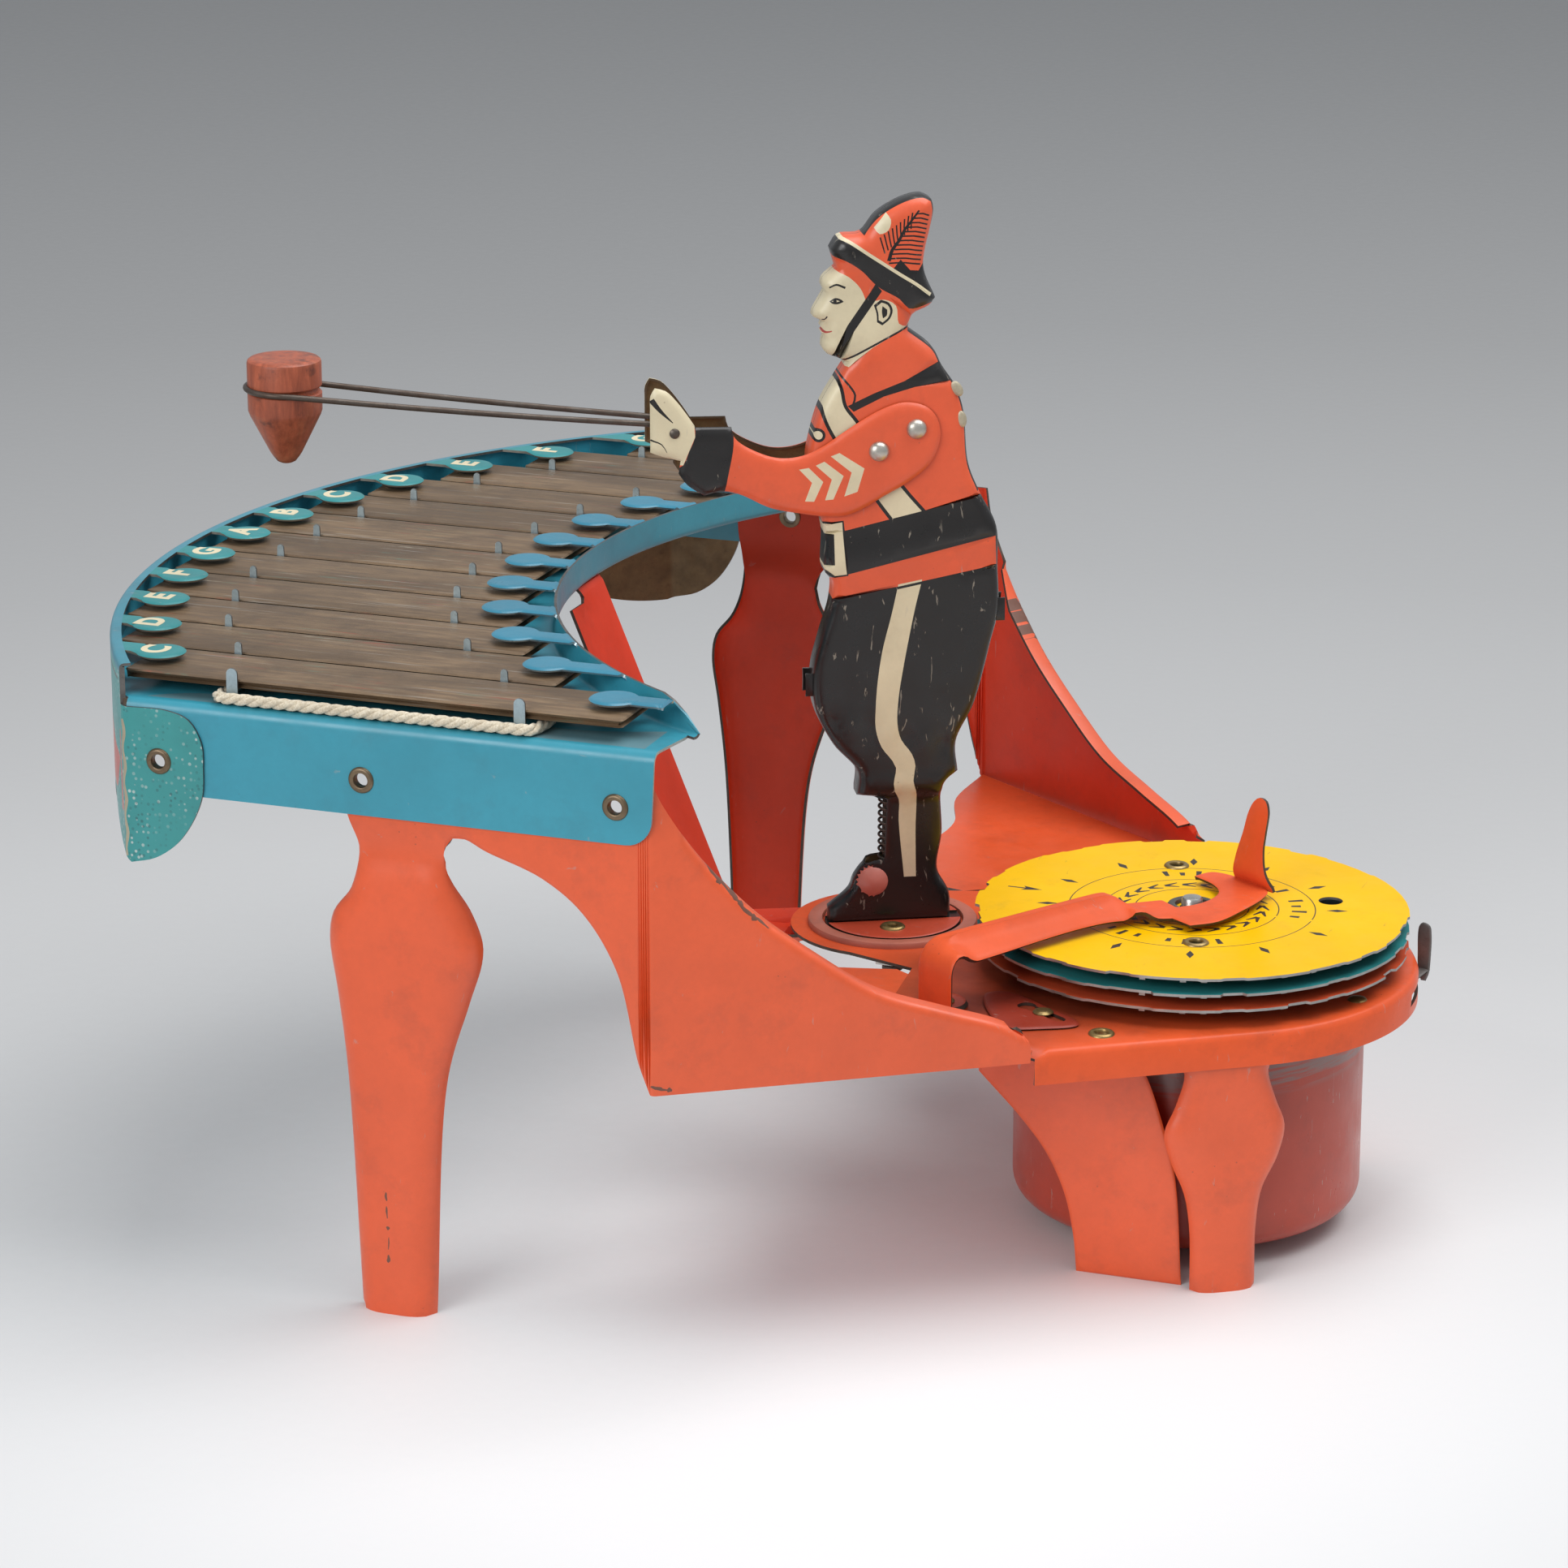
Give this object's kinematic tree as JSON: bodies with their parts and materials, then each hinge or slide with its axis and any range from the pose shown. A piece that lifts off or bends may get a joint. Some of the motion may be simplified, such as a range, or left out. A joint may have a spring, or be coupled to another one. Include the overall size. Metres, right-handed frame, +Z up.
{
  "type": "tin wind-up musical toy",
  "caption": "Tin toy in which a figure on a swivelling base strikes tuned bars on a curved tray with a mallet, driven by stacked note discs on a clockwork drum.",
  "frame": {"origin": "centre of the bounding box, on the floor under the feet", "axes": "+X from the tray towards the drum, +Y from the longest bar to the shortest, +Z up"},
  "size_m": [0.24, 0.2016, 0.191],
  "materials": {
    "blue_tin": "lithographed tin, satin, worn edges",
    "litho_band": "lithographed tin, satin, scratched",
    "bar_steel": "tarnished steel with traces of paint",
    "cotton": "three-strand cotton cord",
    "orange_tin": "lacquered tin, satin, worn edges",
    "drum_tin": "lacquered tin, satin, with a rubbed band",
    "spring_steel": "dark tarnished wire",
    "brass": "tarnished",
    "steel": "dull",
    "black_tin": "worn satin",
    "red_disc_tin": "lithographed tin, satin",
    "teal_disc_tin": "lithographed tin, satin",
    "yellow_disc_tin": "lithographed tin, satin",
    "figure_tin": "lithographed tin, glossy, scratched",
    "stained_wood": "stained, worn"
  },
  "bodies": {
    "frame": {"tray": "blue_tin", "outer_band": "litho_band", "bar_01": "bar_steel", "bar_02": "bar_steel", "bar_03": "bar_steel", "bar_04": "bar_steel", "bar_05": "bar_steel", "bar_06": "bar_steel", "bar_07": "bar_steel", "bar_08": "bar_steel", "bar_09": "bar_steel", "bar_10": "bar_steel", "bar_11": "bar_steel", "bar_12": "bar_steel", "bar_cord": "cotton", "tray_eyelets": "brass", "side_frame_left": "orange_tin", "side_frame_right": "orange_tin", "platform": "orange_tin", "leg_plate_left": "orange_tin", "leg_plate_right": "orange_tin", "tray_brace": "orange_tin", "platform_eyelets": "brass", "turntable_ring": "orange_tin", "movement_plate": "brass", "movement_pillars": "brass", "clamp_rivet": "brass", "slide_rivet": "brass", "lever_rivet": "brass", "sector_pin": "steel", "strike_bracket": "steel"},
    "note_discs": {"spindle": "steel", "drive_gear": "brass", "disc_red": "red_disc_tin", "disc_teal": "teal_disc_tin", "disc_yellow": "yellow_disc_tin", "disc_eyelets": "brass"},
    "second_wheel": {"second_wheel": "brass"},
    "governor": {"governor": "steel"},
    "drum": {"motor_drum": "drum_tin", "mainspring": "spring_steel", "winding_hub": "steel"},
    "clamp_arm": {"clamp_arm": "orange_tin"},
    "slide_plate": {"slide_plate": "orange_tin"},
    "start_lever": {"start_lever": "steel"},
    "figure": {"turntable": "black_tin", "body_left": "figure_tin", "body_right": "figure_tin", "foot_eyelets": "brass", "return_spring": "spring_steel"},
    "arms": {"arms": "figure_tin", "shoulder_pins": "steel", "hand_pin": "steel", "mallet_wire": "spring_steel", "mallet_head": "stained_wood"},
    "push_rod": {"push_rod": "spring_steel"},
    "strike_lever": {"strike_lever": "steel"},
    "swivel_sector": {"swivel_sector": "steel"}
  },
  "joints": [
    {"name": "disc_spin", "type": "hinge", "parent": "frame", "child": "note_discs", "pos_m": [0.07655, 0, 0.05], "axis": [0, 0, 1], "continuous": true},
    {"name": "second_wheel_spin", "type": "hinge", "parent": "frame", "child": "second_wheel", "pos_m": [0.07655, 0.015, 0.04], "axis": [0, 0, 1], "continuous": true},
    {"name": "governor_spin", "type": "hinge", "parent": "frame", "child": "governor", "pos_m": [0.0648, 0.01928, 0.04], "axis": [0, 0, 1], "continuous": true},
    {"name": "drum_wind", "type": "hinge", "parent": "frame", "child": "drum", "pos_m": [0.07655, 0, 0.02], "axis": [0, 0, 1], "continuous": true},
    {"name": "clamp_swing", "type": "hinge", "parent": "frame", "child": "clamp_arm", "pos_m": [0.04105, -0.042, 0.05], "axis": [0, 0, 1], "range_deg": [-45, 0]},
    {"name": "speed_slide", "type": "slide", "parent": "frame", "child": "slide_plate", "axis": [0.8419, -0.5397, 0], "range_m": [-0.0015, 0.002]},
    {"name": "start_lever_swing", "type": "hinge", "parent": "frame", "child": "start_lever", "pos_m": [0.11175, -0.0128, 0.0466], "axis": [0, 0, 1], "range_deg": [-6, 0]},
    {"name": "figure_swivel", "type": "hinge", "parent": "frame", "child": "figure", "pos_m": [0.01755, 0, 0.05], "axis": [0, 0, 1], "range_deg": [-84, 26]},
    {"name": "arm_strike", "type": "hinge", "parent": "figure", "child": "arms", "pos_m": [0.0202, 0.00141, 0.148], "axis": [0.4695, -0.8829, 0], "range_deg": [0, 14], "stiffness_Nm_per_rad": 0.02, "springref_deg": -22.92},
    {"name": "rod_slide", "type": "slide", "parent": "figure", "child": "push_rod", "axis": [0, 0, -1], "range_m": [0, 0.0016], "deforming": ["return_spring"]},
    {"name": "strike_lever_rock", "type": "hinge", "parent": "frame", "child": "strike_lever", "pos_m": [0.02955, 0, 0.0426], "axis": [0, -1, 0], "range_deg": [0, 7.7]},
    {"name": "sector_swing", "type": "hinge", "parent": "frame", "child": "swivel_sector", "pos_m": [0.04095, 0, 0.047], "axis": [0, 0, 1], "range_deg": [-6, 19]}
  ],
  "couplings": [
    {"joint": "second_wheel_spin", "follows": "disc_spin", "ratio": -4},
    {"joint": "governor_spin", "follows": "disc_spin", "ratio": 16},
    {"joint": "rod_slide", "follows": "arm_strike", "m_per_rad": 0.006421},
    {"joint": "strike_lever_rock", "follows": "arm_strike", "ratio": 0.5366},
    {"joint": "sector_swing", "follows": "figure_swivel", "ratio": -0.21875}
  ]
}
